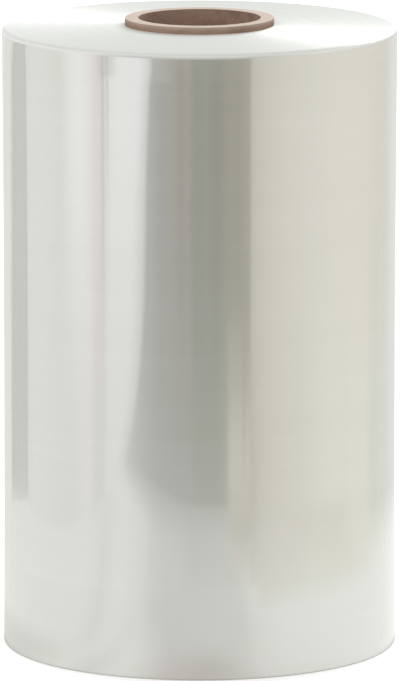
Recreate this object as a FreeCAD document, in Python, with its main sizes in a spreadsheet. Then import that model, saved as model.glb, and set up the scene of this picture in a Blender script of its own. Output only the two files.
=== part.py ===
"""Sealing film roll: clear film wound on a spiral-wound paperboard core.

Millimetres. The roll stands on the core's lower end. The origin is on the axis,
in the plane of that end, and +Z runs up the axis. Two pieces: core and film.
"""
import FreeCAD, Part
import os

import Sketcher

# Driving dimensions: name, value, meaning. Angles are in degrees.
DIMENSIONS = [
    ("core_bore", 76.2, "inside diameter, which takes a 3 inch spindle"),
    ("core_wall", 8.5, "thickness of the glued plies"),
    ("core_proud", 4.5, "how far the core stands out of the film at each end"),
    ("core_end_bevel", 0.4, "edge broken by the saw and by handling"),
    ("ply_width", 127.0, "width of the innermost strip of paper"),
    ("ply_thickness", 0.35, "of that strip, and so the depth of its seam"),
    ("seam_gap", 0.9, "opening between two turns of that strip, along the axis"),
    ("seam_angle", 41.0, "where the seam meets the core's upper end, from +X"),
    ("film_width", 391.0, "width of the web, and so of every turn"),
    ("film_diameter", 247.5, "over the rims of the last turn"),
    ("film_gap", 0.0, "between the core and the first turn, which is wound tight"),
    ("film_slip", 1.1, "how far the last turn has slipped down past the first"),
    ("film_hollow", 0.7, "radius lost at mid width, where the film is a little thinner"),
    ("film_upper_rounding", 3.5, "radius of the outer turns' upper rim, worn by handling"),
    ("film_lower_rounding", 1.5, "radius of their lower rim"),
]

# Sizes that follow from the driving ones, as expressions on the sheet's cells.
CORE_OUTSIDE = "(size.core_bore + 2 * size.core_wall)"
CORE_LENGTH = "(size.film_width + 2 * size.core_proud)"
PITCH = "(pi * size.core_bore * tan(asin(size.ply_width / (pi * size.core_bore))))"
RUN_OUT = "(3 * size.seam_gap)"
BETWEEN_RIMS = "(size.film_width - size.film_upper_rounding - size.film_lower_rounding)"
RIMS_DIFFER = "(size.film_upper_rounding - size.film_lower_rounding)"
WAIST_DOWN = f"({BETWEEN_RIMS} / 2 + size.film_hollow * {RIMS_DIFFER} / {BETWEEN_RIMS})"
SIDE_ARC = f"({WAIST_DOWN} ^ 2 + size.film_hollow ^ 2) / (2 * size.film_hollow) - size.film_upper_rounding"


def fill_sheet(doc):
    """One row a dimension: its name, its value in a cell with that alias, its meaning."""
    sheet = doc.addObject("Spreadsheet::Sheet", "size")
    for row, (name, value, meaning) in enumerate(DIMENSIONS, start=1):
        sheet.set(f"A{row}", name)
        sheet.set(f"B{row}", str(value))
        sheet.setAlias(f"B{row}", name)
        sheet.set(f"C{row}", meaning)
    doc.recompute()
    return sheet


def add_sketch(body, role, name):
    """A sketch on one of the body's own origin planes."""
    plane = next(item for item in body.Origin.OriginFeatures if item.Role == role)
    sketch = body.newObject("Sketcher::SketchObject", name)
    sketch.AttachmentSupport = [(plane, "")]
    sketch.MapMode = "FlatFace"
    return sketch


def dimension(sketch, name, formula, *constraint):
    """A dimensional constraint whose value is the formula's."""
    index = sketch.addConstraint(Sketcher.Constraint(*constraint))
    sketch.renameConstraint(index, name)
    sketch.setExpression(f"Constraints.{name}", formula)


def round_edges(shape, radius, heights):
    """The names of the circular edges of this radius at these heights."""
    names = []
    for number, edge in enumerate(shape.Edges, start=1):
        if not isinstance(edge.Curve, Part.Circle) or abs(edge.Curve.Radius - radius) > 1e-4:
            continue
        if any(abs(edge.Curve.Center.z - height) < 1e-4 for height in heights):
            names.append(f"Edge{number}")
    return names


def make_tube(body, sheet):
    """The wall of glued plies, sawn square, with its four end edges broken."""
    section = add_sketch(body, "XY_Plane", "tube_section")
    inside = sheet.core_bore / 2
    outside = inside + sheet.core_wall
    for number, radius in enumerate((inside, outside)):
        circle = Part.Circle(FreeCAD.Vector(0, 0, 0), FreeCAD.Vector(0, 0, 1), radius)
        section.addGeometry(circle, False)
        section.addConstraint(Sketcher.Constraint("Coincident", number, 3, -1, 1))
    dimension(section, "inside", "size.core_bore", "Diameter", 0, 2 * inside)
    dimension(section, "outside", CORE_OUTSIDE, "Diameter", 1, 2 * outside)

    tube = body.newObject("PartDesign::Pad", "tube")
    tube.Profile = section
    tube.setExpression("Length", CORE_LENGTH)
    body.Document.recompute()

    ends = (0, sheet.film_width + 2 * sheet.core_proud)
    bevel = body.newObject("PartDesign::Chamfer", "end_bevels")
    edges = round_edges(tube.Shape, inside, ends) + round_edges(tube.Shape, outside, ends)
    bevel.Base = (tube, edges)
    bevel.setExpression("Size", "size.core_end_bevel")
    body.Document.recompute()


def cut_seam(body):
    """The butt seam of the innermost ply, a shallow helix down the bore.

    The strip's turns lie edge to edge where width = circumference * sin(winding
    angle), which sets the pitch. The section straddles the bore's surface, so half
    of it cuts nothing, and it runs out past both ends.
    """
    section = add_sketch(body, "XZ_Plane", "seam_section")
    turned = FreeCAD.Rotation(FreeCAD.Vector(0, 1, 0), 90)
    section.AttachmentOffset = FreeCAD.Placement(FreeCAD.Vector(0, 0, 0), turned)
    start_angle = f"(size.seam_angle - 360 * ({CORE_LENGTH} + {RUN_OUT}) / {PITCH}) * 1 deg"
    section.setExpression("AttachmentOffset.Rotation.Angle", start_angle)

    corners = [(30, -4), (31, -4), (31, -3), (30, -3)]
    for side, (start, end) in enumerate(zip(corners, corners[1:] + corners[:1])):
        line = Part.LineSegment(FreeCAD.Vector(*start, 0), FreeCAD.Vector(*end, 0))
        section.addGeometry(line, False)
        section.addConstraint(Sketcher.Constraint("Vertical" if side % 2 else "Horizontal", side))
    for side in range(4):
        section.addConstraint(Sketcher.Constraint("Coincident", side, 2, (side + 1) % 4, 1))
    dimension(section, "near_side", "size.core_bore / 2 - size.ply_thickness",
              "DistanceX", -1, 1, 0, 1, 30)
    dimension(section, "across_surface", "2 * size.ply_thickness", "DistanceX", 0, 1, 0, 2, 1)
    dimension(section, "below_end", f"{RUN_OUT} + size.seam_gap / 2", "DistanceY", 0, 1, -1, 1, 4)
    dimension(section, "gap", "size.seam_gap", "DistanceY", 1, 1, 1, 2, 1)

    uncut = body.Shape.Volume
    seam = body.newObject("PartDesign::SubtractiveHelix", "seam")
    seam.Profile = section
    seam.ReferenceAxis = (section, ["V_Axis"])
    seam.Mode = "pitch-height-angle"
    seam.setExpression("Pitch", PITCH)
    seam.setExpression("Height", f"{CORE_LENGTH} + 2 * {RUN_OUT}")
    body.Document.recompute()
    if not body.Shape.Volume < uncut:
        raise RuntimeError("the seam cut nothing")


def make_core(doc, sheet):
    """A tube of paper plies, wound in a spiral and glued, open from end to end."""
    core = doc.addObject("PartDesign::Body", "core")
    make_tube(core, sheet)
    cut_seam(core)
    return core


def make_film(doc, sheet):
    """The wound turns as one solid, with ends that slope because the turns have slipped.

    Both ends slope the same way, because every turn has the same width. The side is
    a shallow arc, tangent to the rounded rims, whose waist comes in by the hollow.
    """
    film = doc.addObject("PartDesign::Body", "film")
    section = add_sketch(film, "XZ_Plane", "turns_section")
    first = sheet.core_bore / 2 + sheet.core_wall + sheet.film_gap
    last = sheet.film_diameter / 2
    low_rounding, high_rounding = sheet.film_lower_rounding, sheet.film_upper_rounding
    low_end, high_end = sheet.core_proud, sheet.core_proud + sheet.film_width
    low = FreeCAD.Vector(last - low_rounding, low_end - sheet.film_slip + low_rounding, 0)
    high = FreeCAD.Vector(last - high_rounding, high_end - sheet.film_slip - high_rounding, 0)

    # Close to the final outline; the constraints below bring it there.
    outward, along = FreeCAD.Vector(1, 0, 0), FreeCAD.Vector(0, 1, 0)
    half = 0.5 ** 0.5
    low_first = FreeCAD.Vector(first, low_end, 0)
    high_first = FreeCAD.Vector(first, high_end, 0)
    low_bottom, low_side = low - along * low_rounding, low + outward * low_rounding
    high_side, high_top = high + outward * high_rounding, high + along * high_rounding
    waist = (low_side + high_side) / 2 - outward * sheet.film_hollow
    outline = [
        Part.LineSegment(low_first, low_bottom),
        Part.Arc(low_bottom, low + (outward - along) * half * low_rounding, low_side),
        Part.Arc(high_side, waist, low_side),
        Part.Arc(high_side, high + (outward + along) * half * high_rounding, high_top),
        Part.LineSegment(high_top, high_first),
        Part.LineSegment(high_first, low_first),
    ]
    for curve in outline:
        section.addGeometry(curve, False)
    lower_end, lower_rim, side, upper_rim, upper_end, core_side = range(6)
    section.addConstraint([
        Sketcher.Constraint("Tangent", lower_end, 2, lower_rim, 1),
        Sketcher.Constraint("Tangent", lower_rim, 2, side, 2),
        Sketcher.Constraint("Tangent", side, 1, upper_rim, 1),
        Sketcher.Constraint("Tangent", upper_rim, 2, upper_end, 1),
        Sketcher.Constraint("Coincident", upper_end, 2, core_side, 1),
        Sketcher.Constraint("Coincident", core_side, 2, lower_end, 1),
        Sketcher.Constraint("Vertical", core_side),
    ])
    dimension(section, "first_turn", f"{CORE_OUTSIDE} / 2 + size.film_gap",
              "DistanceX", -1, 1, lower_end, 1, first)
    dimension(section, "above_core_end", "size.core_proud",
              "DistanceY", -1, 1, lower_end, 1, low_end)
    dimension(section, "width", "size.film_width",
              "DistanceY", core_side, 2, core_side, 1, sheet.film_width)
    dimension(section, "lower_rounding", "size.film_lower_rounding", "Radius", lower_rim, low_rounding)
    dimension(section, "upper_rounding", "size.film_upper_rounding", "Radius", upper_rim, high_rounding)
    dimension(section, "lower_rim_out", "size.film_diameter / 2 - size.film_lower_rounding",
              "DistanceX", -1, 1, lower_rim, 3, low.x)
    dimension(section, "upper_rim_out", "size.film_diameter / 2 - size.film_upper_rounding",
              "DistanceX", -1, 1, upper_rim, 3, high.x)
    dimension(section, "lower_rim_up", "size.core_proud - size.film_slip + size.film_lower_rounding",
              "DistanceY", -1, 1, lower_rim, 3, low.y)
    dimension(section, "between_rims", BETWEEN_RIMS,
              "DistanceY", lower_rim, 3, upper_rim, 3, high.y - low.y)
    dimension(section, "side_arc", SIDE_ARC, "Radius", side, section.Geometry[side].Radius)

    turns = film.newObject("PartDesign::Revolution", "turns")
    turns.Profile = section
    turns.ReferenceAxis = (section, ["V_Axis"])
    turns.Angle = 360
    doc.recompute()
    return film


def check(doc, pieces):
    """Stop if any object failed, or a piece isn't one valid solid."""
    for item in doc.Objects:
        if "Invalid" in item.State or "Error" in item.State:
            raise RuntimeError(f"{item.Label} failed: {item.State}")
    for piece in pieces:
        if piece.Shape.isNull() or not piece.Shape.isValid() or len(piece.Shape.Solids) != 1:
            raise RuntimeError(f"{piece.Label} isn't one valid solid")


def write_steps(pieces):
    os.makedirs("parts", exist_ok=True)
    for piece in pieces:
        piece.Shape.exportStep(os.path.join("parts", f"{piece.Label}.step"))


doc = FreeCAD.newDocument("sealing_film_roll")
sheet = fill_sheet(doc)
pieces = [make_core(doc, sheet), make_film(doc, sheet)]
doc.recompute()
check(doc, pieces)
write_steps(pieces)
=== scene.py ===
"""The looks of an upright roll of clear sealing film, wound on a paperboard core.

Metres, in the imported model's frame: the roll stands on the core's lower end, with
its axis on Z. The camera looks along +Y.
"""
import math

import bpy
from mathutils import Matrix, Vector


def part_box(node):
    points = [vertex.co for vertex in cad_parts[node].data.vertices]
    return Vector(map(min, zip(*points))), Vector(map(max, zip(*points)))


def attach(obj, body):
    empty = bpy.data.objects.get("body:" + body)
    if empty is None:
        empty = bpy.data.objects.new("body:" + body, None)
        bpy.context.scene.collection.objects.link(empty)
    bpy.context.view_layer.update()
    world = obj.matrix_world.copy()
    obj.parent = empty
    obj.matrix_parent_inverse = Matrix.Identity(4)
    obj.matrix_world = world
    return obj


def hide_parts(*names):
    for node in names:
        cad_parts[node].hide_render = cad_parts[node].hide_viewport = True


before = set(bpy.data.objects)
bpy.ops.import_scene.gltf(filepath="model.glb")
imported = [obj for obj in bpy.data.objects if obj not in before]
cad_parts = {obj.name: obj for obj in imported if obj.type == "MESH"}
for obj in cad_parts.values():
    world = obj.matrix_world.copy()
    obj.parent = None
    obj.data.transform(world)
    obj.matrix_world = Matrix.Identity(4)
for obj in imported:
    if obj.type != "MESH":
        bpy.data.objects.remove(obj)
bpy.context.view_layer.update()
MM = 0.001


# ---------------------------------------------------------------------------
# The core: a tube of brown kraft paper plies, wound in a spiral, glued and sawn
# square at both ends. The film is wound straight on to it. The butt joints of the
# innermost and outermost strips show as shallow helical seams.
# ---------------------------------------------------------------------------
CORE_LOW, CORE_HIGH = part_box("core")
CORE_OUTSIDE = CORE_HIGH.x
CORE_BORE = 38.1 * MM
CORE_LENGTH = CORE_HIGH.z - CORE_LOW.z
CORE_BEVEL = 0.4 * MM
PLIES = 20
PLY_THICKNESS = 0.35 * MM
STRIP_WIDTH = 127.0 * MM
SEAM_GAP = 0.9 * MM
INNER_SEAM_TURN = 41.0
OUTER_SEAM_TURN = -19.0
OUTER_SEAM_GAP = 0.6 * MM
SEAM_RUN_OUT = 6.0 * MM
PLY_EDGE_PITCH = 149.8 * MM
SAWN_FUZZ = 3.0 * MM
KRAFT_BROWN = (147, 120, 104)
KRAFT_FIBRE = (170, 143, 127)
KRAFT_DARK = (112, 89, 75)
SAWN_PAPER = (219, 204, 190)
SAWN_SHADE = (203, 185, 169)
SAWN_FIBRE = (239, 227, 214)
SAWN_GLUE = (181, 154, 134)


class Wire:
    """A socket of a node tree. Arithmetic on wires adds the Math nodes for it."""

    def __init__(self, tree, socket):
        self.tree, self.socket = tree, socket

    @classmethod
    def node(cls, tree, kind, settings=(), inputs=(), output=0):
        """The output of a new node: its settings first, then its sockets' values or wires."""
        node = tree.nodes.new(kind)
        for name, value in dict(settings).items():
            if name == "stops":
                stops = node.color_ramp.elements
                while len(stops) < len(value):
                    stops.new(0.5)
                for stop, (position, colour) in zip(stops, value):
                    stop.position, stop.color = position, colour
            else:
                setattr(node, name, value)
        for name, value in dict(inputs).items():
            if isinstance(value, Wire):
                tree.links.new(value.socket, node.inputs[name])
            else:
                node.inputs[name].default_value = value
        return cls(tree, node.outputs[output])

    def also(self, output):
        """Another output of this wire's node."""
        return Wire(self.tree, self.socket.node.outputs[output])

    def math(self, operation, *values):
        return Wire.node(self.tree, "ShaderNodeMath", {"operation": operation}, enumerate(values))

    def __add__(self, other):
        return self.math("ADD", self, other)

    def __radd__(self, other):
        return self.math("ADD", other, self)

    def __sub__(self, other):
        return self.math("SUBTRACT", self, other)

    def __rsub__(self, other):
        return self.math("SUBTRACT", other, self)

    def __mul__(self, other):
        return self.math("MULTIPLY", self, other)

    def __rmul__(self, other):
        return self.math("MULTIPLY", other, self)

    def __truediv__(self, other):
        return self.math("DIVIDE", self, other)

    def __rtruediv__(self, other):
        return self.math("DIVIDE", other, self)

    def __lt__(self, other):
        return self.math("LESS_THAN", self, other)

    def __gt__(self, other):
        return self.math("GREATER_THAN", self, other)


def paint(red, green, blue):
    """The linear colour of a paint that is written in the usual 0 to 255 values."""
    linear = [
        c / 12.92 if c <= 0.04045 else ((c + 0.055) / 1.055) ** 2.4
        for c in (red / 255, green / 255, blue / 255)
    ]
    return (*linear, 1.0)


def blend_colours(factor, first, second, how="MIX"):
    """The colour that turns from the first to the second as the factor goes from 0 to 1."""
    return Wire.node(
        factor.tree, "ShaderNodeMix", {"data_type": "RGBA", "blend_type": how},
        {0: factor, 6: first, 7: second}, output=2,
    )


def grain(tree, vector, scale, detail=2.0, roughness=0.5, distortion=0.0):
    """Smooth noise from 0 to 1. Scale is in cells a metre."""
    return Wire.node(
        tree, "ShaderNodeTexNoise", {"noise_dimensions": "3D"},
        {"Vector": vector, "Scale": scale, "Detail": detail, "Roughness": roughness,
         "Distortion": distortion},
    )


def step_between(value, low, high):
    """0 below low, 1 above high, and smooth between them."""
    return Wire.node(
        value.tree, "ShaderNodeMapRange", {"interpolation_type": "SMOOTHSTEP"},
        {"Value": value, "From Min": low, "From Max": high},
    )


def new_finish(name):
    """A new material with its tree, its shader and the object's own coordinates."""
    material = bpy.data.materials.new(name)
    material.use_nodes = True
    tree = material.node_tree
    shader = tree.nodes["Principled BSDF"]
    place = Wire.node(tree, "ShaderNodeTexCoord", output="Object")
    return material, tree, shader, place


def around_axis(place):
    """Height, distance from the roll's axis, and turn about it in radians."""
    x = Wire.node(place.tree, "ShaderNodeSeparateXYZ", inputs={0: place}, output="X")
    y, z = x.also("Y"), x.also("Z")
    radius = x.math("SQRT", x * x + y * y)
    return z, radius, x.math("ARCTAN2", y, x)


def connect(shader, **wires):
    """Feeds wires to a shader's sockets, with spaces for the underscores in their names."""
    for name, wire in wires.items():
        wire.tree.links.new(wire.socket, shader.inputs[name.replace("_", " ")])


def raised(height, distance, strength=1.0):
    """The normal of a surface that this height from 0 to 1 raises by the distance."""
    return Wire.node(
        height.tree, "ShaderNodeBump",
        inputs={"Height": height, "Distance": distance, "Strength": strength},
        output="Normal",
    )


def kraft_paper():
    """Brown paper with long fibres, and the faint edges of the plies under it."""
    material, tree, shader, place = new_finish("kraft_paper")
    height, radius, turn = around_axis(place)
    along_strip = height / PLY_EDGE_PITCH - turn / math.tau
    fibres = grain(tree, place, 900, detail=5, roughness=0.65, distortion=1.6)
    blotches = grain(tree, place, 70, detail=3)
    under_edge = (along_strip * 3).math("PINGPONG", along_strip * 3 + 0.17, 0.5)
    edge = 1 - step_between(under_edge, 0.0, 0.02)
    colour = blend_colours(step_between(fibres, 0.40, 0.72), paint(*KRAFT_BROWN), paint(*KRAFT_FIBRE))
    colour = blend_colours(step_between(blotches, 0.42, 0.7) * 0.45, colour, paint(*KRAFT_DARK))
    colour = blend_colours(edge * 0.3, colour, paint(*KRAFT_DARK))
    fuzz = step_between(height, CORE_LENGTH - SAWN_FUZZ, CORE_LENGTH - CORE_BEVEL) + (
        1 - step_between(height, CORE_BEVEL, SAWN_FUZZ))
    outer = step_between(radius, CORE_OUTSIDE - 1.0 * MM, CORE_OUTSIDE - 0.5 * MM)
    colour = blend_colours(fuzz * outer * 0.35, colour, paint(*SAWN_SHADE))
    shader.inputs["Specular IOR Level"].default_value = 0.25
    connect(
        shader, Base_Color=colour, Roughness=0.82 + 0.12 * blotches,
        Normal=raised(fibres * 0.7 - edge * 0.5, 0.00008),
    )
    return material


def sawn_plies():
    """The sawn end: pale torn fibres in rings, with darker glue between the plies."""
    material, tree, shader, place = new_finish("sawn_plies")
    height, radius, turn = around_axis(place)
    wander = (grain(tree, place, 160, detail=2) - 0.5) * 0.3
    ring = (radius - CORE_BORE) / ((CORE_OUTSIDE - CORE_BORE) / PLIES) + wander
    number = ring.math("FLOOR", ring)
    across = ring.math("FRACT", ring)
    glue = 1 - step_between(across.math("PINGPONG", across, 0.5), 0.02, 0.16)
    tone = Wire.node(tree, "ShaderNodeTexWhiteNoise", {"noise_dimensions": "1D"}, {"W": number})
    fibres = grain(tree, place, 1500, detail=4, roughness=0.7)
    colour = blend_colours(tone * 0.35, paint(*SAWN_PAPER), paint(*SAWN_SHADE))
    colour = blend_colours(glue * 0.55, colour, paint(*SAWN_GLUE))
    colour = blend_colours(step_between(fibres, 0.35, 0.75) * 0.30, colour, paint(*SAWN_FIBRE))
    rim = 1 - step_between(radius, CORE_BORE + 0.2 * MM, CORE_BORE + 0.9 * MM)
    colour = blend_colours(rim * 0.5, colour, paint(*SAWN_GLUE))
    shader.inputs["Specular IOR Level"].default_value = 0.2
    connect(
        shader, Base_Color=colour, Roughness=0.88 + 0.1 * fibres,
        Normal=raised(fibres - glue * 0.8, 0.00010),
    )
    return material


def tree_with_inputs(name, sizes):
    """A new geometry tree, and its inputs by name: (name, socket type, value)."""
    tree = bpy.data.node_groups.new(name, "GeometryNodeTree")
    tree.interface.new_socket("Geometry", in_out="OUTPUT", socket_type="NodeSocketGeometry")
    for label, kind, value in sizes:
        socket = tree.interface.new_socket(label, in_out="INPUT", socket_type=kind)
        socket.default_value = value
    inputs = tree.nodes.new("NodeGroupInput")
    return tree, {label: Wire(tree, inputs.outputs[label]) for label, _, _ in sizes}


def lathe(tree, rows, segments, radius, height, start=0.0):
    """One zone of a turned shape. Radius and height are functions of the share along
    the zone and of the turn in radians, which goes once round."""
    grid = Wire.node(
        tree, "GeometryNodeMeshGrid",
        inputs={"Size X": 1.0, "Size Y": 1.0, "Vertices X": rows, "Vertices Y": segments},
    )
    x = Wire.node(tree, "ShaderNodeSeparateXYZ",
                  inputs={0: Wire.node(tree, "GeometryNodeInputPosition")}, output="X")
    along, turn = x + 0.5, (x.also("Y") + 0.5) * math.tau
    out, up = radius(along, turn), height(along, turn)
    place = Wire.node(
        tree, "ShaderNodeCombineXYZ",
        inputs={0: out * x.math("COSINE", turn + start), 1: out * x.math("SINE", turn + start), 2: up},
    )
    return Wire.node(tree, "GeometryNodeSetPosition", inputs={"Geometry": grid, "Position": place})


def weld(tree, zones):
    """The zones as one closed mesh."""
    join = tree.nodes.new("GeometryNodeJoinGeometry")
    for zone in reversed(zones):
        tree.links.new(zone.socket, join.inputs[0])
    return Wire.node(tree, "GeometryNodeMergeByDistance",
                     inputs={"Geometry": Wire(tree, join.outputs[0]), "Distance": 0.002 * MM})


def smooth_with_edges(tree, mesh, sharp=math.radians(32)):
    """Smooth shading that breaks at edges sharper than this."""
    angle = Wire.node(tree, "GeometryNodeInputMeshEdgeAngle")
    smooth = Wire.node(tree, "GeometryNodeSetShadeSmooth", {"domain": "FACE"}, {"Geometry": mesh})
    return Wire.node(tree, "GeometryNodeSetShadeSmooth", {"domain": "EDGE"},
                     {"Geometry": smooth, "Selection": angle > sharp, "Shade Smooth": False})


def finish_faces(tree, mesh, side, end):
    """Ends the tree: the side's material everywhere, and the end's on faces that lie flat."""
    normal_z = Wire.node(
        tree, "ShaderNodeSeparateXYZ",
        inputs={0: Wire.node(tree, "GeometryNodeInputNormal")}, output="Z",
    )
    mesh = Wire.node(tree, "GeometryNodeRealizeInstances", inputs={"Geometry": mesh})
    mesh = Wire.node(tree, "GeometryNodeSetMaterial", inputs={"Geometry": mesh, "Material": side})
    lies_flat = normal_z.math("ABSOLUTE", normal_z) > 0.6
    mesh = Wire.node(tree, "GeometryNodeSetMaterial",
                     inputs={"Geometry": mesh, "Selection": lies_flat, "Material": end})
    output = tree.nodes.new("NodeGroupOutput")
    tree.links.new(mesh.socket, output.inputs[0])


def baked(name, tree, sizes):
    """A plain mesh object of what the tree makes with these inputs."""
    piece = bpy.data.objects.new(name, bpy.data.meshes.new(name + "_start"))
    bpy.context.scene.collection.objects.link(piece)
    modifier = piece.modifiers.new("shape", "NODES")
    modifier.node_group = tree
    for item in tree.interface.items_tree:
        if item.item_type == "SOCKET" and item.in_out == "INPUT" and item.name in sizes:
            modifier[item.identifier] = sizes[item.name]
    depsgraph = bpy.context.evaluated_depsgraph_get()
    mesh = bpy.data.meshes.new_from_object(piece.evaluated_get(depsgraph), depsgraph=depsgraph)
    mesh.name = name
    piece.modifiers.remove(modifier)
    piece.data = mesh
    return piece


def core_tree(wall, end):
    """The tube of plies: sawn ends with a low ridge a ply, broken edges, helical seams."""
    tree, size = tree_with_inputs("spiral_wound_core", [
        ("Bore Radius", "NodeSocketFloat", CORE_BORE),
        ("Outside Radius", "NodeSocketFloat", CORE_OUTSIDE),
        ("Length", "NodeSocketFloat", CORE_LENGTH),
        ("Bevel", "NodeSocketFloat", CORE_BEVEL),
        ("Plies", "NodeSocketInt", PLIES),
        ("Ply Ridge", "NodeSocketFloat", 0.06 * MM),
        ("Segments", "NodeSocketInt", 385),
        ("Pitch", "NodeSocketFloat", 0.15),
        ("Run Out", "NodeSocketFloat", SEAM_RUN_OUT),
        ("Seam Depth", "NodeSocketFloat", PLY_THICKNESS),
        ("Inner Gap", "NodeSocketFloat", SEAM_GAP),
        ("Outer Gap", "NodeSocketFloat", OUTER_SEAM_GAP),
        ("Inner Turn", "NodeSocketFloat", 0.0),
        ("Outer Turn", "NodeSocketFloat", 0.0),
    ])
    bore, outside, length, bevel = (size[n] for n in ("Bore Radius", "Outside Radius", "Length", "Bevel"))
    plies, segments = size["Plies"], size["Segments"]
    face_in, face_out = bore + bevel, outside - bevel

    def ridge(along):
        """Each ply stands a little proud of the glue beside it; none passes the end."""
        ply = along * plies
        crown = 1 - (ply.math("PINGPONG", ply, 0.5) * 2)
        drop = Wire.node(tree, "ShaderNodeTexWhiteNoise", {"noise_dimensions": "1D"},
                         {"W": ply.math("FLOOR", ply)})
        inside = step_between(along, 0.0, 0.04) * (1 - step_between(along, 0.96, 1.0))
        return size["Ply Ridge"] * inside * (crown * 0.6 + drop * 0.4)

    rows = plies * 2 + 1
    zones = [
        lathe(tree, rows, segments, lambda a, t: face_in + (face_out - face_in) * a,
              lambda a, t: length - ridge(a)),
        lathe(tree, 3, segments, lambda a, t: outside - bevel * (1 - a.math("SINE", a * math.pi / 2)),
              lambda a, t: length - bevel * (1 - a.math("COSINE", a * math.pi / 2))),
        lathe(tree, 12, segments, lambda a, t: outside + a * 0.0,
              lambda a, t: (length - bevel) + (bevel * 2 - length) * a),
        lathe(tree, 3, segments, lambda a, t: outside - bevel * (1 - a.math("COSINE", a * math.pi / 2)),
              lambda a, t: bevel * (1 - a.math("SINE", a * math.pi / 2))),
        lathe(tree, rows, segments, lambda a, t: face_out + (face_in - face_out) * a,
              lambda a, t: ridge(a)),
        lathe(tree, 3, segments, lambda a, t: bore + bevel * (1 - a.math("SINE", a * math.pi / 2)),
              lambda a, t: bevel * (1 - a.math("COSINE", a * math.pi / 2))),
        lathe(tree, 12, segments, lambda a, t: bore + a * 0.0,
              lambda a, t: bevel + (length - bevel * 2) * a),
        lathe(tree, 3, segments, lambda a, t: bore + bevel * (1 - a.math("COSINE", a * math.pi / 2)),
              lambda a, t: (length - bevel) + bevel * a.math("SINE", a * math.pi / 2)),
    ]
    tube = weld(tree, zones)

    for radius, gap, turn in ((bore, size["Inner Gap"], size["Inner Turn"]),
                              (outside, size["Outer Gap"], size["Outer Turn"])):
        whole = length + size["Run Out"] * 2
        spiral = Wire.node(tree, "GeometryNodeCurveSpiral", inputs={
            "Resolution": 192, "Rotations": whole / size["Pitch"], "Start Radius": radius,
            "End Radius": radius, "Height": whole,
        })
        spiral = Wire.node(tree, "GeometryNodeSetCurveNormal", {"mode": "Z_UP"}, {"Curve": spiral})
        section = Wire.node(tree, "GeometryNodeCurvePrimitiveQuadrilateral", inputs={
            "Width": size["Seam Depth"] * 2, "Height": gap,
        })
        cutter = Wire.node(tree, "GeometryNodeCurveToMesh", inputs={
            "Curve": spiral, "Profile Curve": section, "Fill Caps": True,
        })
        first_turn = (turn - whole / size["Pitch"] * math.tau
                      + size["Run Out"] / size["Pitch"] * math.tau)
        spin = Wire.node(tree, "ShaderNodeCombineXYZ", inputs={2: first_turn})
        shift = Wire.node(tree, "ShaderNodeCombineXYZ", inputs={2: 0 - size["Run Out"]})
        cutter = Wire.node(tree, "GeometryNodeTransform",
                           inputs={"Geometry": cutter, "Translation": shift, "Rotation": spin})
        tube = Wire.node(tree, "GeometryNodeMeshBoolean",
                         {"operation": "DIFFERENCE", "solver": "MANIFOLD"},
                         {"Mesh 1": tube, "Mesh 2": cutter})
    finish_faces(tree, smooth_with_edges(tree, tube), wall, end)
    return tree


strip_pitch = math.tau * CORE_BORE * math.tan(math.asin(STRIP_WIDTH / (math.tau * CORE_BORE)))
lean = math.cos(math.atan(strip_pitch / (math.tau * CORE_BORE)))
core = baked("core_tube", core_tree(kraft_paper(), sawn_plies()), {
    "Pitch": strip_pitch,
    "Inner Gap": SEAM_GAP * lean,
    "Outer Gap": OUTER_SEAM_GAP * lean,
    "Inner Turn": math.radians(INNER_SEAM_TURN),
    "Outer Turn": math.radians(OUTER_SEAM_TURN),
})
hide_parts("core")
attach(core, "root")


# ---------------------------------------------------------------------------
# The film: one long web of clear sealing film, wound tight on the core. Its turns
# lie edge to edge in fine rings at both ends and have slipped down a little. The
# web's end lies flat at the back, and its thin middle leaves the side hollow.
# ---------------------------------------------------------------------------
FILM_LOW, FILM_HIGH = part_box("film")
FILM_RADIUS = FILM_HIGH.x
FILM_SLIP = 1.1 * MM
FILM_HOLLOW = 0.7 * MM
FILM_UPPER_ROUNDING = 3.5 * MM
FILM_LOWER_ROUNDING = 1.5 * MM
FILM_CLEAR = (231, 231, 227)
FILM_MILKY = (226, 227, 221)
FILM_LANE = (244, 244, 242)
FILM_END = (222, 224, 219)
FILM_END_PALE = (232, 233, 229)
FILM_END_RING = (206, 208, 203)
FILM_END_WARM = (228, 226, 222)
WEB_END_TURN = 118.0
WEB_END_STEP = 0.05 * MM


def clear_side():
    """Glossy clear film, layer on layer: bright as a stack of panes, a little milky."""
    material, tree, shader, place = new_finish("clear_film_side")
    height, radius, turn = around_axis(place)
    spread = Wire.node(tree, "ShaderNodeVectorMath", {"operation": "MULTIPLY"},
                       {0: place, 1: (1.0, 1.0, 0.12)})
    flat_bands = Wire.node(tree, "ShaderNodeVectorMath", {"operation": "MULTIPLY"},
                           {0: place, 1: (0.02, 0.02, 1.0)})
    lanes = grain(tree, flat_bands, 260, detail=4, roughness=0.6)
    broad = grain(tree, flat_bands, 22, detail=2)
    ripple = grain(tree, spread, 30, detail=2)
    creases = grain(tree, spread, 140, detail=2)
    colour = blend_colours(step_between(broad, 0.3, 0.7) * 0.5, paint(*FILM_CLEAR), paint(*FILM_MILKY))
    colour = blend_colours(step_between(lanes, 0.45, 0.8) * 0.14, colour, paint(*FILM_LANE))
    shader.inputs["Metallic"].default_value = 0.60
    shader.inputs["Coat Weight"].default_value = 1.0
    shader.inputs["Coat Roughness"].default_value = 0.03
    shader.inputs["Coat IOR"].default_value = 1.5
    connect(
        shader, Base_Color=colour, Roughness=0.045 + 0.04 * lanes,
        Normal=raised(lanes * 0.016 + ripple * 0.6 + creases * 0.08, 0.00012),
    )
    return material


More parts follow.
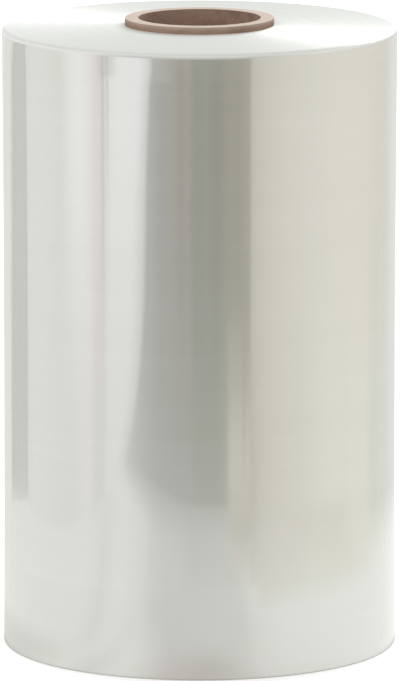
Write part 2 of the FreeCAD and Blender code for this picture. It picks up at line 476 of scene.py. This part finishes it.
def film_edges():
    """The edges of thousands of turns: satin, grey white, combed into rings."""
    material, tree, shader, place = new_finish("film_edges")
    height, radius, turn = around_axis(place)
    rings = Wire.node(tree, "ShaderNodeTexNoise", {"noise_dimensions": "1D"},
                      {"W": radius, "Scale": 1400.0, "Detail": 5.0, "Roughness": 0.6})
    bands = Wire.node(tree, "ShaderNodeTexNoise", {"noise_dimensions": "1D"},
                      {"W": radius, "Scale": 110.0, "Detail": 2.0})
    clouds = grain(tree, place, 16, detail=2)
    colour = blend_colours(step_between(bands, 0.35, 0.7) * 0.5, paint(*FILM_END), paint(*FILM_END_PALE))
    colour = blend_colours(step_between(rings, 0.5, 0.8) * 0.3, colour, paint(*FILM_END_RING))
    colour = blend_colours(step_between(clouds, 0.45, 0.75) * 0.25, colour, paint(*FILM_END_WARM))
    shader.inputs["Metallic"].default_value = 0.25
    shader.inputs["Anisotropic"].default_value = 0.8
    shader.inputs["Anisotropic Rotation"].default_value = 0.25
    connect(shader, Base_Color=colour, Roughness=0.50 + 0.08 * bands, Normal=raised(rings, 0.00003))
    return material


def film_tree(side, end):
    """The turned shape of the wound film, with the step where the web ends."""
    tree, size = tree_with_inputs("wound_film", [
        ("Bore Radius", "NodeSocketFloat", CORE_OUTSIDE),
        ("Radius", "NodeSocketFloat", FILM_RADIUS),
        ("Lower End", "NodeSocketFloat", FILM_LOW.z + FILM_SLIP),
        ("Upper End", "NodeSocketFloat", FILM_HIGH.z),
        ("Slip", "NodeSocketFloat", FILM_SLIP),
        ("Hollow", "NodeSocketFloat", FILM_HOLLOW),
        ("Upper Rounding", "NodeSocketFloat", FILM_UPPER_ROUNDING),
        ("Lower Rounding", "NodeSocketFloat", FILM_LOWER_ROUNDING),
        ("Ring Ridge", "NodeSocketFloat", 0.09 * MM),
        ("Web End Step", "NodeSocketFloat", WEB_END_STEP),
        ("Web End Turn", "NodeSocketFloat", 0.0),
        ("Rings", "NodeSocketInt", 74),
        ("Segments", "NodeSocketInt", 450),
    ])
    bore, whole, slip = size["Bore Radius"], size["Radius"], size["Slip"]
    high_rim, low_rim = size["Upper Rounding"], size["Lower Rounding"]
    segments, start = size["Segments"], size["Web End Turn"]
    low_centre = size["Lower End"] - slip + low_rim
    high_centre = size["Upper End"] - slip - high_rim
    middle, side_half = (low_centre + high_centre) * 0.5, (high_centre - low_centre) * 0.5
    waist_tilt = size["Hollow"] * 2 / side_half

    def once_round(turn):
        """The turn as it goes once round and then stops for the step's own face."""
        return turn.math("MINIMUM", turn * segments / (segments - 1), math.tau)

    def web(turn):
        """How far the last turn lies out: none at its start, one step at its end."""
        going = turn < (math.tau - 0.0001)
        return size["Web End Step"] * (once_round(turn) / math.tau * going - 1)

    def lean_in(rim):
        """How steeply an end slopes down to its rim."""
        return slip / (whole - rim - bore)

    def ridge(radius, edge):
        """Turns that wandered sideways as they were wound."""
        wander = Wire.node(tree, "ShaderNodeTexNoise", {"noise_dimensions": "1D"},
                           {"W": radius, "Scale": 420.0, "Detail": 3.0, "Roughness": 0.7})
        faded = step_between(radius, bore, bore + 1.5 * MM) * (
            1 - step_between(radius, edge - 1.5 * MM, edge))
        return (wander - 0.5) * size["Ring Ridge"] * faded

    def end_zone(level, rim, sign):
        edge = whole - rim + rim * lean_in(rim) * sign
        inner, outer = (bore, edge) if sign > 0 else (edge, bore)
        radius = lambda a, t: inner + (outer - inner) * a
        return lathe(tree, size["Rings"], segments, radius,
                     lambda a, t: (level - (radius(a, t) - bore) * lean_in(rim)
                                   + ridge(radius(a, t), whole - rim) * sign), start)

    def rim_zone(centre, rim, first, last):
        angle = lambda a: first + (last - first) * a
        return lathe(tree, 9, segments,
                     lambda a, t: (whole - rim) + (rim + web(t)) * a.math("COSINE", angle(a)),
                     lambda a, t: centre + rim * a.math("SINE", angle(a)), start)

    def tilt(rim):
        return rim.math("ARCTANGENT", lean_in(rim))

    quarter = math.pi / 2
    side_top, side_foot = high_centre - high_rim * waist_tilt, low_centre + low_rim * waist_tilt
    side_height = lambda a: side_top + (side_foot - side_top) * a

    def side_radius(a, t):
        share = (side_height(a) - middle) / side_half
        return whole - size["Hollow"] * (1 - share * share) + web(t)

    zones = [
        end_zone(size["Upper End"], high_rim, 1),
        rim_zone(high_centre, high_rim, quarter - tilt(high_rim), 0 - waist_tilt),
        lathe(tree, 25, segments, side_radius, lambda a, t: side_height(a), start),
        rim_zone(low_centre, low_rim, waist_tilt, 0 - quarter - tilt(low_rim)),
        end_zone(size["Lower End"], low_rim, -1),
        lathe(tree, 2, segments, lambda a, t: bore + a * 0.0,
              lambda a, t: size["Lower End"] + (size["Upper End"] - size["Lower End"]) * a, start),
    ]
    finish_faces(tree, smooth_with_edges(tree, weld(tree, zones)), side, end)
    return tree


film = baked("film_roll", film_tree(clear_side(), film_edges()), {
    "Lower End": FILM_LOW.z + FILM_SLIP,
    "Upper End": FILM_HIGH.z,
    "Web End Turn": math.radians(WEB_END_TURN),
})
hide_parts("film")
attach(film, "root")


# ---------------------------------------------------------------------------
# The studio: a pale floor that keeps the roll's soft shadow, and what the glossy
# film mirrors: a white table, a warm curved screen at the right, a soft box and a
# white card at the left, and the dim room in front. Only mirror rays see these.
# Their colour stops and small corrections are fitted values.
# ---------------------------------------------------------------------------
FLOOR_HALF = 30.0
FLOOR_PALE = (0.86, 0.86, 0.86, 1.0)
FLOOR_LIFT = 0.76
BOARD_HEIGHT = 0.45
TABLE_OUTLINE = [
    (-0.56, -0.66), (-0.45, -0.71), (-0.30, -0.72), (0.0, -0.72), (0.15, -0.70),
    (0.30, -0.63), (0.45, -0.50), (0.60, -0.30), (0.60, 0.40), (0.50, 1.60), (-0.80, 1.60),
    (-0.77, 0.97), (-0.395, 0.378), (-0.45, 0.357), (-0.56, 0.24), (-0.60, 0.19), (-0.60, -0.30),
]
LEFT_BOARD_X = -0.56
LEFT_BOARD_FRONT, LEFT_BOARD_BACK = -1.16, 0.218
FRAME_ONE_Y, FRAME_TWO_Y, WIDE_FRAME_SHADE_Y = -0.422, -0.464, -0.465
SCREEN_RADIUS = 0.43
SCREEN_FROM, SCREEN_TO = 25.0, 152.0
LOW_CARD_RADIUS = 0.58
LOW_CARD_FROM, LOW_CARD_TO = 13.0, 31.0
LOW_CARD_HEIGHT = 0.165
LOW_CARD_LINE = 23.2


def board(name, corners, faces, material, mirrored_only=True):
    """A flat or bent board of the studio."""
    mesh = bpy.data.meshes.new(name)
    mesh.from_pydata(corners, [], faces)
    mesh.materials.append(material)
    piece = bpy.data.objects.new(name, mesh)
    bpy.context.scene.collection.objects.link(piece)
    if mirrored_only:
        piece.visible_camera = False
        piece.visible_diffuse = False
        piece.visible_shadow = False
        piece.visible_transmission = False
    return piece


def outlined(name, corners, material, mirrored_only=True):
    """A flat board with this outline."""
    return board(name, corners, [tuple(range(len(corners)))], material, mirrored_only)


def round_screen(name, radius, first, last, height, material, folds=30):
    """A board bent round the roll's axis. Angles go from the front towards +X."""
    feet = []
    for fold in range(folds + 1):
        angle = math.radians(first + (last - first) * fold / folds)
        feet.append((radius * math.sin(angle), -radius * math.cos(angle)))
    corners = [(x, y, z) for x, y in feet for z in (0.0, height)]
    faces = [(2 * n, 2 * n + 2, 2 * n + 3, 2 * n + 1) for n in range(folds)]
    return board(name, corners, faces, material)


def glowing(name, look):
    """A card that mirrors show in its own colour, however it is lit. The look is a
    function of the angle from the front towards +X, in degrees, and of the place. It
    gives the colour, and how much of the card is there."""
    material = bpy.data.materials.new(name)
    material.use_nodes = True
    tree = material.node_tree
    tree.nodes.clear()
    x = Wire.node(tree, "ShaderNodeSeparateXYZ",
                  inputs={0: Wire.node(tree, "ShaderNodeTexCoord", output="Object")}, output="X")
    y, z = x.also("Y"), x.also("Z")
    colour, there = look(x.math("ARCTAN2", x, 0 - y) / math.radians(1), x, y, z)
    glow = Wire.node(tree, "ShaderNodeEmission", inputs={"Color": colour})
    clear = Wire.node(tree, "ShaderNodeBsdfTransparent")
    card = Wire.node(tree, "ShaderNodeMixShader", inputs={0: there, 1: clear, 2: glow})
    output = tree.nodes.new("ShaderNodeOutputMaterial")
    tree.links.new(card.socket, output.inputs["Surface"])
    return material


def graded(value, stops):
    """The colour that goes through (value, paint) stops."""
    low, high = stops[0][0], stops[-1][0]
    return Wire.node(
        value.tree, "ShaderNodeValToRGB",
        {"stops": [((at - low) / (high - low), paint(*colour)) for at, colour in stops]},
        {0: (value - low) / (high - low)},
    )


def apart(value, place):
    """How far the value is from this place, on either side."""
    return (value - place).math("ABSOLUTE", value - place)


def screen_foot(angle):
    """The colour in which the table and the warm screen meet."""
    return graded(angle, [
        (20, (208, 203, 190)), (26, (218, 216, 205)), (37, (226, 225, 214)), (48, (231, 230, 219)),
        (62, (238, 238, 225)), (88, (241, 240, 226)), (100, (243, 243, 232)), (112, (249, 249, 241)),
        (137, (252, 253, 249)), (152, (252, 253, 249)),
    ])


def table_look(angle, x, y, z):
    """White, with painted shade: the roll's shadow in front of it, darker at its front edge and beside
    the low card, and a contact shadow close round the roll.
    """
    reach = x.math("SQRT", x * x + y * y)
    # Painted shadow: both ramps darken in front of the roll, and the close one darkens most near its
    # foot.
    open_table = graded(angle, [
        (-180, (230, 230, 225)), (-165, (230, 230, 225)), (-148, (233, 233, 228)),
        (-130, (238, 238, 233)), (-104, (242, 242, 238)), (-62, (241, 241, 237)), (-56, (237, 237, 233)),
        (-51, (230, 230, 226)), (-45, (239, 239, 235)), (-40, (239, 240, 235)), (-36, (237, 237, 232)),
        (-32, (233, 233, 228)), (-29, (230, 230, 225)), (-26, (219, 219, 214)), (-23, (214, 214, 209)),
        (-20, (209, 209, 204)), (-14, (206, 206, 201)), (0, (209, 209, 204)), (12, (214, 214, 209)),
        (20, (216, 216, 211)),
        (26, (232, 232, 226)), (37, (242, 243, 238)), (60, (251, 252, 247)), (88, (254, 255, 250)),
        (140, (254, 255, 250)), (180, (230, 230, 225)),
    ])
    close = graded(angle, [
        (-180, (224, 224, 218)), (-75, (222, 222, 216)), (-60, (232, 232, 226)), (-50, (240, 240, 235)),
        (-44, (232, 232, 227)), (-38, (227, 227, 222)), (-33, (235, 235, 230)), (-27, (240, 240, 235)),
        (-22, (230, 229, 224)),
        (-18, (221, 216, 212)), (-13.5, (208, 199, 196)), (-9, (198, 188, 184)), (-5, (194, 185, 180)),
        (0, (190, 182, 175)), (5, (190, 183, 176)), (10, (198, 193, 187)), (15, (210, 206, 200)),
        (20, (226, 221, 217)), (25, (237, 234, 230)), (30, (239, 239, 234)), (40, (245, 245, 240)),
        (60, (251, 252, 247)), (88, (254, 255, 250)), (140, (254, 255, 250)), (180, (224, 224, 218)),
    ])
    dimmed_to = 0.24 + 0.04 * step_between(angle, -70, -20) + 0.10 * step_between(angle, -42, -30) * (
        1 - step_between(angle, -20, -12))
    colour = blend_colours(step_between((reach - 0.15) / (dimmed_to - 0.15), 0.0, 1.0), close, open_table)
    # Painted shade on the table, further out in front of the roll.
    front_shade = step_between(reach, 0.35, 0.52) * step_between(angle, -14, -2) * (
        1 - step_between(angle, 15, 22))
    colour = blend_colours(front_shade * 0.24, colour, paint(162, 160, 150))
    # Painted shade: the table darkens towards its front edge.
    middle = step_between(x, -0.30, -0.05)
    front_edge_shade = step_between(0 - y, 0.53, 0.775) * middle + (
        step_between(0 - y, 0.54, 0.74) * (1 - middle))
    colour = blend_colours(front_edge_shade, colour, paint(171, 171, 163))
    # Painted warm shade on the table beside the low card.
    low_card_shade = step_between(reach, 0.40, 0.56) * step_between(angle, 14, 22) * (
        1 - step_between(angle, 28, 32))
    colour = blend_colours(low_card_shade * 0.85, colour, paint(209, 201, 188))
    # Painted contact shadow on the table, close round the roll's foot.
    contact_shadow = 1 - step_between(reach, 0.125, 0.139)
    colour = blend_colours(contact_shadow * 0.5, colour, paint(150, 150, 142))
    by_screen = step_between(reach, 0.34, 0.43) * step_between(angle, 27, 33)
    return blend_colours(by_screen, colour, screen_foot(angle)), 1.0


def left_look(angle, x, y, z):
    """A soft box in front and a white card behind it, with thin dark frames between.
    Both are brighter towards the top, and the soft box fades out at its front end."""
    upper = step_between(z, 0.03, 0.29)
    colour = blend_colours(
        upper,
        graded(y, [
            (-1.16, (240, 240, 237)), (-0.50, (240, 240, 237)), (-0.45, (236, 236, 233)),
            (-0.41, (229, 225, 223)), (-0.36, (229, 223, 221)), (-0.31, (241, 237, 234)),
            (-0.25, (237, 237, 233)), (-0.17, (231, 231, 228)), (-0.06, (233, 233, 231)),
            (0.03, (236, 236, 233)), (0.15, (236, 236, 233)), (0.20, (231, 231, 228)),
        ]),
        graded(y, [
            (-1.16, (250, 249, 252)), (-0.72, (253, 252, 255)), (-0.60, (252, 251, 252)),
            (-0.50, (249, 249, 246)), (-0.41, (230, 225, 223)), (-0.36, (239, 228, 230)),
            (-0.31, (250, 243, 244)), (-0.23, (255, 255, 254)), (-0.18, (250, 250, 247)),
            (-0.12, (237, 237, 233)), (-0.09, (233, 230, 225)), (-0.03, (235, 234, 230)),
            (0.03, (236, 236, 233)), (0.15, (236, 236, 233)), (0.20, (231, 231, 228)),
        ]),
    )
    frames = (1 - step_between(apart(y, FRAME_ONE_Y), 0.004, 0.022)) + (
        1 - step_between(apart(y, FRAME_TWO_Y), 0.003, 0.014)) * step_between(z, 0.15, 0.28)
    colour = blend_colours(frames * (0.10 + 0.75 * upper), colour, paint(196, 193, 190))
    # Painted shade: a wider dark patch high on the board at the second frame, for that frame's reflection
    # spread by ripples of the film near its rim.
    wide_frame_shade = step_between(z, 0.286, 0.304) * (
        1 - step_between(apart(y, WIDE_FRAME_SHADE_Y), 0.03, 0.12))
    colour = blend_colours(wide_frame_shade * 0.38, colour, paint(170, 168, 166))
    front = -0.63 - 0.33 * (1 - z.math("EXPONENT", z / -0.038)) - 0.13 * step_between(z, 0.13, 0.26)
    inside = y - front
    there = step_between(inside, -0.10, 0.04) * 0.6 + step_between(inside, 0.0, 0.25) * 0.4
    return colour, there


def screen_look(angle, x, y, z):
    """Warm white, dimmer towards its front end, with the table's light on its foot."""
    lower = graded(angle, [
        (24, (178, 174, 158)), (28.4, (197, 191, 175)), (31, (206, 200, 185)), (34, (211, 206, 192)),
        (44, (224, 219, 204)), (54, (228, 225, 212)), (63, (236, 235, 222)), (74, (241, 240, 227)),
        (88, (246, 240, 228)), (100, (243, 240, 227)), (108, (228, 228, 215)), (118, (228, 229, 217)),
        (125, (227, 228, 219)), (137, (230, 231, 229)), (152, (226, 227, 224)),
    ])
    higher = graded(angle, [
        (24, (180, 175, 158)), (28.4, (199, 192, 175)), (34, (211, 205, 191)), (44, (225, 219, 205)),
        (54, (231, 226, 213)), (63, (236, 232, 219)), (74, (241, 235, 223)), (88, (241, 235, 223)),
        (100, (238, 232, 219)), (112, (230, 225, 212)), (125, (225, 223, 212)), (137, (231, 231, 228)),
        (152, (226, 227, 224)),
    ])
    colour = blend_colours(step_between(z, 0.10, 0.24), lower, higher)
    pinker = step_between(angle, 30, 46) * (1 - step_between(angle, 76, 92)) * (
        1 - step_between(z, 0.034, 0.052))
    colour = blend_colours(pinker * 0.6, colour, paint(222, 211, 198))
    foot_height = 0.060 - 0.028 * step_between(angle, 70, 110)
    foot = 1 - (z / foot_height).math("MINIMUM", z / foot_height, 1.0)
    return blend_colours(foot, colour, screen_foot(angle)), step_between(angle, 24.2, 26.8)


def low_card_look(angle, x, y, z):
    """A low beige panel, paler towards the table, with one dark upright line."""
    colour = graded(z, [
        (0.0, (197, 192, 178)), (0.03, (196, 190, 171)), (0.05, (200, 193, 176)),
        (0.075, (193, 187, 169)), (0.10, (170, 164, 144)), (0.13, (155, 148, 127)),
        (0.165, (142, 134, 110)),
    ])
    line = (1 - step_between(apart(angle, LOW_CARD_LINE), 0.2, 1.1)) * 0.25
    colour = blend_colours(line * step_between(z, 0.03, 0.07), colour, paint(120, 113, 90))
    there = step_between(angle, 12.8, 17.2) * (1 - step_between(z, 0.135, 0.165))
    return colour, there


def floor_finish():
    """Matt pale floor. The camera sees it a little brighter, so that it is white."""
    material = bpy.data.materials.new("pale_floor")
    material.use_nodes = True
    tree = material.node_tree
    tree.nodes.clear()
    seen = Wire.node(tree, "ShaderNodeLightPath", output="Is Camera Ray")
    matt = Wire.node(tree, "ShaderNodeBsdfDiffuse", inputs={"Color": FLOOR_PALE})
    lift = Wire.node(tree, "ShaderNodeEmission", inputs={"Strength": seen * FLOOR_LIFT})
    both = Wire.node(tree, "ShaderNodeAddShader", inputs={0: matt, 1: lift})
    output = tree.nodes.new("ShaderNodeOutputMaterial")
    tree.links.new(both.socket, output.inputs["Surface"])
    return material


floor = outlined("floor", [(-FLOOR_HALF, -FLOOR_HALF, 0), (FLOOR_HALF, -FLOOR_HALF, 0),
                           (FLOOR_HALF, FLOOR_HALF, 0), (-FLOOR_HALF, FLOOR_HALF, 0)],
                 floor_finish(), mirrored_only=False)
floor.visible_glossy = False

outlined("white_table", [(x, y, 0) for x, y in TABLE_OUTLINE], glowing("table_white", table_look))
outlined("left_board", [(LEFT_BOARD_X, y, z) for y, z in (
    (LEFT_BOARD_FRONT, 0), (LEFT_BOARD_FRONT, BOARD_HEIGHT),
    (LEFT_BOARD_BACK, BOARD_HEIGHT), (LEFT_BOARD_BACK, 0))], glowing("left_board_face", left_look))
round_screen("warm_screen", SCREEN_RADIUS, SCREEN_FROM, SCREEN_TO, BOARD_HEIGHT,
             glowing("warm_screen_face", screen_look))
round_screen("low_card", LOW_CARD_RADIUS, LOW_CARD_FROM, LOW_CARD_TO, LOW_CARD_HEIGHT,
             glowing("low_card_face", low_card_look), folds=8)


def world_light():
    """White to the camera, an even sky for the light, and for mirrors a white wall
    behind the roll with the dim room in front."""
    world = bpy.data.worlds.new("studio")
    bpy.context.scene.world = world
    world.use_nodes = True
    tree = world.node_tree
    tree.nodes.clear()
    toward = Wire.node(tree, "ShaderNodeTexCoord", output="Generated")
    x = Wire.node(tree, "ShaderNodeSeparateXYZ", inputs={0: toward}, output="X")
    y, z = x.also("Y"), x.also("Z")
    level = x.math("SQRT", x * x + y * y)
    ahead, aside = y / level, x / level
    streaks = Wire.node(tree, "ShaderNodeTexNoise", {"noise_dimensions": "1D"},
                        {"W": aside, "Scale": 34.0, "Detail": 4.0, "Roughness": 0.7})
    room = graded(aside, [
        (-1.0, (191, 191, 185)), (-0.63, (187, 187, 181)), (-0.577, (175, 175, 170)),
        (-0.52, (163, 162, 157)), (-0.487, (156, 153, 150)), (-0.431, (141, 138, 136)),
        (-0.363, (135, 125, 121)),
        (-0.275, (131, 122, 104)), (-0.184, (114, 97, 75)), (-0.133, (126, 113, 92)),
        (-0.09, (116, 106, 78)), (-0.05, (80, 84, 38)), (0.01, (80, 83, 30)), (0.06, (92, 95, 57)),
        (0.113, (81, 79, 26)), (0.174, (81, 71, 22)), (0.235, (96, 88, 44)), (0.295, (116, 106, 66)),
        (0.41, (120, 110, 73)), (0.45, (142, 133, 108)), (1.0, (146, 143, 120)),
    ])
    room = blend_colours(step_between(streaks, 0.42, 0.58) * 0.16, room, paint(70, 68, 58))
    room = blend_colours(step_between(z, -0.152, -0.141) * 0.065, room, paint(190, 190, 182))
    left_haze = step_between(z, -0.158, -0.143) * (1 - step_between(aside, -0.40, -0.22))
    room = blend_colours(left_haze * 0.30, room, paint(190, 190, 182))
    halfway = step_between(0 - z, 0.162, 0.170) * (1 - step_between(0 - z, 0.174, 0.184))
    room = blend_colours(halfway * 0.07, room, paint(60, 58, 50))
    dusk = graded(aside, [
        (-1.0, (190, 190, 184)), (-0.63, (186, 186, 180)), (-0.577, (172, 172, 166)),
        (-0.524, (159, 159, 152)), (-0.469, (147, 147, 141)), (-0.393, (136, 136, 127)),
        (-0.314, (131, 131, 122)), (-0.235, (124, 124, 115)), (-0.154, (122, 122, 113)),
        (-0.10, (119, 119, 108)), (-0.065, (108, 109, 88)), (0.01, (105, 108, 78)),
        (0.174, (105, 109, 78)), (0.21, (113, 116, 86)), (0.255, (130, 133, 104)),
        (0.30, (140, 138, 112)), (1.0, (146, 143, 120)),
    ])
    room = blend_colours(step_between(0 - z, 0.168, 0.186), room, dusk)
    low = ((-0.1785 - z) / 0.0195).math("MAXIMUM", (-0.1785 - z) / 0.0195, 0.0)
    low = low.math("MINIMUM", low * low, 1.0)
    room = blend_colours(low, room, paint(192, 193, 186))
    gap = blend_colours(step_between(0 - z, 0.1910, 0.1938), paint(200, 201, 195), paint(230, 231, 225))
    further = ahead + 1.24 * (z.math("MAXIMUM", z, -0.184) + 0.169)
    wall = graded(further, [
        (0.0, (196, 197, 191)), (0.80, (200, 201, 195)), (0.835, (227, 228, 222)),
        (0.87, (233, 234, 228)), (0.90, (233, 233, 228)), (0.96, (228, 228, 225)), (1.0, (236, 236, 233)),
    ])
    beside = step_between(ahead, 0.50, 0.56) * (aside < 0)
    mirrored = blend_colours(beside, room, gap)
    mirrored = blend_colours(step_between(further, 0.80, 0.82), mirrored, wall)
    above = blend_colours(step_between(z, 0.30, 0.95), paint(252, 252, 250), paint(236, 236, 233))
    dim_front = step_between(0 - ahead, 0.2, 0.9)
    above = blend_colours(dim_front * (1 - step_between(z, 0.3, 0.9)), above, paint(190, 190, 184))
    mirrored = blend_colours(step_between(z, -0.09, 0.12), mirrored, above)
    ray = Wire.node(tree, "ShaderNodeLightPath", output="Is Camera Ray")
    colour = blend_colours(ray.also("Is Glossy Ray"), paint(226, 227, 229), mirrored)
    colour = blend_colours(ray, colour, (1.0, 1.0, 1.0, 1.0))
    shine = Wire.node(tree, "ShaderNodeBackground", inputs={"Color": colour, "Strength": 1.0})
    output = tree.nodes.new("ShaderNodeOutputWorld")
    tree.links.new(shine.socket, output.inputs["Surface"])


world_light()


def lamp(name, place, target, width, height, power, mirrored=True):
    """A soft rectangular white lamp that faces its target."""
    light = bpy.data.lights.new(name, "AREA")
    light.shape = "RECTANGLE"
    light.size, light.size_y = width, height
    light.energy = power
    holder = bpy.data.objects.new(name, light)
    holder.location = place
    aim = Vector(target) - Vector(place)
    holder.rotation_euler = aim.to_track_quat("-Z", "Y").to_euler()
    holder.visible_glossy = mirrored
    bpy.context.scene.collection.objects.link(holder)


lamp("key_behind_right", (1.13, 2.03, 1.72), (0, 0, 0.39), 1.5, 0.7, 30)
lamp("low_behind", (0, 0.56, 0.74), (0, 0, 0.39), 0.5, 0.1, 0.5, mirrored=False)
lamp("fill_left", (-2.2, -2.4, 2.4), (0, 0, 0.2), 1.6, 1.6, 24, mirrored=False)


# ---------------------------------------------------------------------------
# The camera: far off with a long lens, looking down on the roll by ten degrees.
# ---------------------------------------------------------------------------
CAMERA_PLACE = Vector((0.0, -5.004, 1.0913))
CAMERA_AIM = Vector((0.0003, 0.0, 0.1950))
CAMERA_LENS_MM = 427.5
CAMERA_SENSOR_MM = 36.0

camera_data = bpy.data.cameras.new("camera")
camera_data.lens = CAMERA_LENS_MM
camera_data.sensor_width = CAMERA_SENSOR_MM
camera = bpy.data.objects.new("camera", camera_data)
camera.location = CAMERA_PLACE
camera.rotation_euler = (CAMERA_AIM - CAMERA_PLACE).to_track_quat("-Z", "Y").to_euler()
bpy.context.scene.collection.objects.link(camera)
bpy.context.scene.camera = camera
bpy.context.scene.view_settings.view_transform = "Standard"
